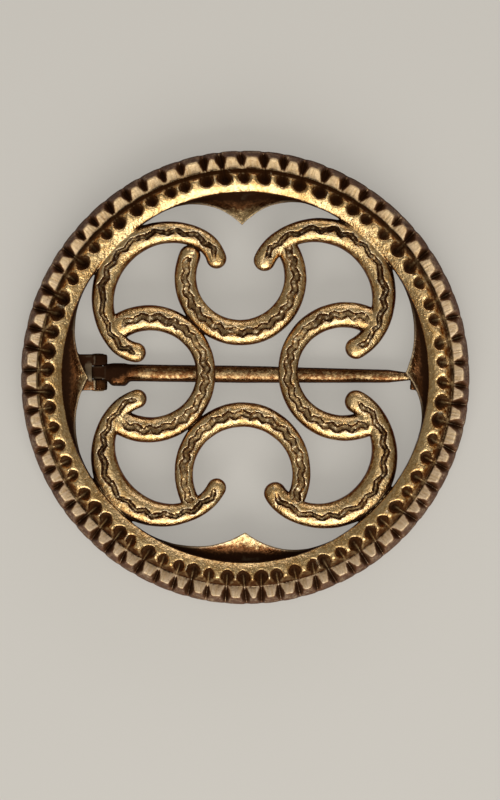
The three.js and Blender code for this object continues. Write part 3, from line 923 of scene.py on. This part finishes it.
class BroochNeedleSettings(bpy.types.PropertyGroup):
    """Sizes of the needle."""

    unevenness: length("Unevenness", "Waviness that the file left in the surface", 0.03)
    cell: length("Cell", "Size of the cells that the surface is skinned from", 0.05)
    triangles: bpy.props.IntProperty(
        name="Triangles", description="Triangles kept in the finished needle", default=30000, min=2000,
    )


class BroochFinishSettings(bpy.types.PropertyGroup):
    """Colours of the brass."""

    bright: colour("Bright brass", "Clean metal", (0.90, 0.63, 0.30))
    warm: colour("Warm brass", "Metal with a thin skin of tarnish", (0.58, 0.32, 0.095))
    filed: colour("Filed brass", "The satin faces of the outer teeth", (1.0, 0.75, 0.48))
    # also the colour of the painted shade
    aged: colour("Aged brass", "Brown tarnish in the hollows", (0.16, 0.052, 0.015))
    # painted shade on the riser and flanks, and brown patina in the cuts
    browned_and_shaded: colour("Browned", "Matt brown on slopes that no cloth reaches", (0.048, 0.017, 0.005))
    # also the colour of the deepest painted shade
    recess: colour("Recess", "Old polish and soot in the cuts", (0.035, 0.014, 0.006))
    # worn edges with painted highlights
    rubbed_glint: colour("Rubbed edge", "Edges kept bright by cloth", (0.98, 0.78, 0.48))
    roughness: bpy.props.FloatProperty(
        name="Roughness", description="Dullness of the polish", default=0.22, min=0.05, max=1,
        subtype="FACTOR",
    )


class BroochStageSettings(bpy.types.PropertyGroup):
    """The board, lights and camera."""

    board: colour("Board", "The pale board under the brooch", (0.37, 0.352, 0.318))
    key_power: bpy.props.FloatProperty(
        name="Key light", description="Soft box on the near side", default=1.0, min=0, unit="POWER",
    )
    top_power: bpy.props.FloatProperty(
        name="Top light", description="Soft box overhead", default=0.42, min=0, unit="POWER",
    )
    cool_power: bpy.props.FloatProperty(
        name="Cool light", description="Low cool soft box on the far side", default=0.22, min=0,
        unit="POWER",
    )
    surround: bpy.props.FloatProperty(
        name="Surround", description="Brightness of the room around", default=0.2, min=0, max=5,
    )
    camera_height: bpy.props.FloatProperty(
        name="Camera height", description="Height of the camera over the board", default=0.42, min=0.1,
        unit="LENGTH",
    )


# ------------------------------------------------------------------ operators


def dress(piece, body, node):
    """Lets a finished piece ride on its body and stand for its solid."""
    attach(piece, body)
    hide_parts(node)


class BROOCH_OT_cast_body(bpy.types.Operator):
    """Cast, file and engrave the brooch's body"""

    bl_idname = "brooch.cast_body"
    bl_label = "Cast the Body"

    def execute(self, context):
        sizes = context.scene.brooch_body
        settings = {
            "Tooth count": float(sizes.tooth_count),
            "Notch slope": sizes.notch_slope,
            "Line depth": sizes.line_depth / MM,
            "Line width": sizes.line_width / MM,
            "Unevenness": sizes.unevenness / MM,
            "Seed": float(sizes.seed),
        }
        material = brass_finish(
            "Cast brass", context.scene.brooch_finish, wear=0.95, edge_rub_and_glint=0.75, under=1.0, beaten=0.6,
        )
        cell = sizes.cell / MM * 1.0
        box = (BODY_LOW, BODY_HIGH)
        piece = shape_piece(
            "openwork_disc", body_group(), settings, box, cell, sizes.triangles, material, ("Sunk", "Leaf"),
        )
        dress(piece, "brooch", "brooch_body")
        return {"FINISHED"}


class BROOCH_OT_forge_needle(bpy.types.Operator):
    """Forge the needle with its eye and point"""

    bl_idname = "brooch.forge_needle"
    bl_label = "Forge the Needle"

    def execute(self, context):
        sizes = context.scene.brooch_needle
        settings = {"Unevenness": sizes.unevenness / MM}
        # the needle lies under the ribbons, so its finish carries extra painted shade
        material = brass_finish(
            "Drawn brass", context.scene.brooch_finish, wear=0.95, edge_rub_and_glint=0.2, under=0.35, shade_bias=0.3,
            beaten=0.35,
        )
        box = (NEEDLE_LOW, NEEDLE_HIGH)
        cell = sizes.cell / MM
        piece = shape_piece("hinged_needle", needle_group(), settings, box, cell, sizes.triangles, material)
        dress(piece, "needle", "needle")
        return {"FINISHED"}


class BROOCH_OT_set_rivet(bpy.types.Operator):
    """Set the rivet that the needle turns on"""

    bl_idname = "brooch.set_rivet"
    bl_label = "Set the Rivet"

    def execute(self, context):
        settings = {"Unevenness": RIVET_UNEVEN}
        material = brass_finish("Rivet brass", context.scene.brooch_finish, wear=0.9, edge_rub_and_glint=0.5, under=0.5)
        low = tuple(value - RIVET_MARGIN for value in AXLE_LOW)
        high = tuple(value + RIVET_MARGIN for value in AXLE_HIGH)
        piece = shape_piece(
            "hinge_rivet", rivet_group(), settings, (low, high), RIVET_CELL, RIVET_TRIANGLES, material,
        )
        dress(piece, "brooch", "hinge_axle")
        return {"FINISHED"}


def soft_box(name, power, size, place):
    """A rectangular area light at a place in millimetres, turned to the middle of the board."""
    light = bpy.data.lights.new(name, "AREA")
    light.shape = "RECTANGLE"
    light.size, light.size_y = (side * MM for side in size)
    light.energy = power
    lamp = bpy.data.objects.new(name, light)
    bpy.context.scene.collection.objects.link(lamp)
    lamp.location = [value * MM for value in place]
    lamp.rotation_euler = lamp.location.to_track_quat("Z", "Y").to_euler()
    return lamp


FRAME_HIGH = 74.25  # what the upright frame takes in from top to bottom
CAMERA_MIDDLE = (0.44, -2.1)
SENSOR = 36.0
BOARD_HALF = 0.5  # metres
BOARD_TOP = -0.02  # the board lies just clear of the brooch's foot
WARM_WHITE, COOL_WHITE = (1.0, 0.97, 0.92), (0.96, 0.93, 1.0)


class BROOCH_OT_set_stage(bpy.types.Operator):
    """Lay the pale board, hang the soft lights and set the camera overhead"""

    bl_idname = "brooch.set_stage"
    bl_label = "Set the Stage"

    def execute(self, context):
        stage = context.scene.brooch_stage
        mesh = bpy.data.meshes.new("board")
        low = BOARD_TOP * MM
        corners = [(x * BOARD_HALF, y * BOARD_HALF, low) for x, y in ((-1, -1), (1, -1), (1, 1), (-1, 1))]
        mesh.from_pydata(corners, [], [(0, 1, 2, 3)])
        mesh.materials.append(floor_finish(stage.board))
        board = bpy.data.objects.new("board", mesh)
        context.scene.collection.objects.link(board)

        world = bpy.data.worlds.new("Room")
        world.use_nodes = True
        world.node_tree.nodes["Background"].inputs["Color"].default_value = (*WARM_WHITE, 1)
        world.node_tree.nodes["Background"].inputs["Strength"].default_value = stage.surround
        context.scene.world = world
        soft_box("Key", stage.key_power, (420, 270), (20, -290, 230))
        soft_box("Top", stage.top_power, (430, 430), (10, -60, 520))
        cool = soft_box("Cool", stage.cool_power, (360, 90), (80, 330, 120))
        cool.data.color = COOL_WHITE

        camera = bpy.data.objects.new("Camera", bpy.data.cameras.new("Camera"))
        context.scene.collection.objects.link(camera)
        camera.location = (CAMERA_MIDDLE[0] * MM, CAMERA_MIDDLE[1] * MM, stage.camera_height)
        camera.data.sensor_width = SENSOR
        camera.data.lens = SENSOR * (stage.camera_height / MM - SHOULDER[1]) / FRAME_HIGH
        camera.data.clip_start = 0.01
        context.scene.camera = camera
        context.scene.view_settings.view_transform = "Standard"
        return {"FINISHED"}


class BROOCH_PT_panel(bpy.types.Panel):
    """The brooch's steps and sizes in the sidebar"""

    bl_idname = "BROOCH_PT_panel"
    bl_label = "Openwork Disc Brooch"
    bl_space_type = "VIEW_3D"
    bl_region_type = "UI"
    bl_category = "Brooch"

    def draw(self, context):
        scene = context.scene
        for step, group in zip(STEPS, (scene.brooch_body, scene.brooch_needle, None, scene.brooch_stage)):
            self.layout.operator(step.bl_idname)
            for name in getattr(group, "__annotations__", {}):
                self.layout.prop(group, name)
        self.layout.label(text="Brass")
        for name in BroochFinishSettings.__annotations__:
            self.layout.prop(scene.brooch_finish, name)


SETTINGS = {
    "brooch_body": BroochBodySettings,
    "brooch_needle": BroochNeedleSettings,
    "brooch_finish": BroochFinishSettings,
    "brooch_stage": BroochStageSettings,
}
STEPS = (BROOCH_OT_cast_body, BROOCH_OT_forge_needle, BROOCH_OT_set_rivet, BROOCH_OT_set_stage)


def register():
    for kind in (*SETTINGS.values(), *STEPS, BROOCH_PT_panel):
        bpy.utils.register_class(kind)
    for name, kind in SETTINGS.items():
        setattr(bpy.types.Scene, name, bpy.props.PointerProperty(type=kind))


def unregister():
    for name in SETTINGS:
        delattr(bpy.types.Scene, name)
    for kind in (BROOCH_PT_panel, *reversed(STEPS), *reversed(SETTINGS.values())):
        bpy.utils.unregister_class(kind)


def main():
    """Makes every piece and the stage."""
    register()
    bpy.ops.brooch.cast_body()
    bpy.ops.brooch.forge_needle()
    bpy.ops.brooch.set_rivet()
    bpy.ops.brooch.set_stage()


if __name__ == "__main__":
    main()
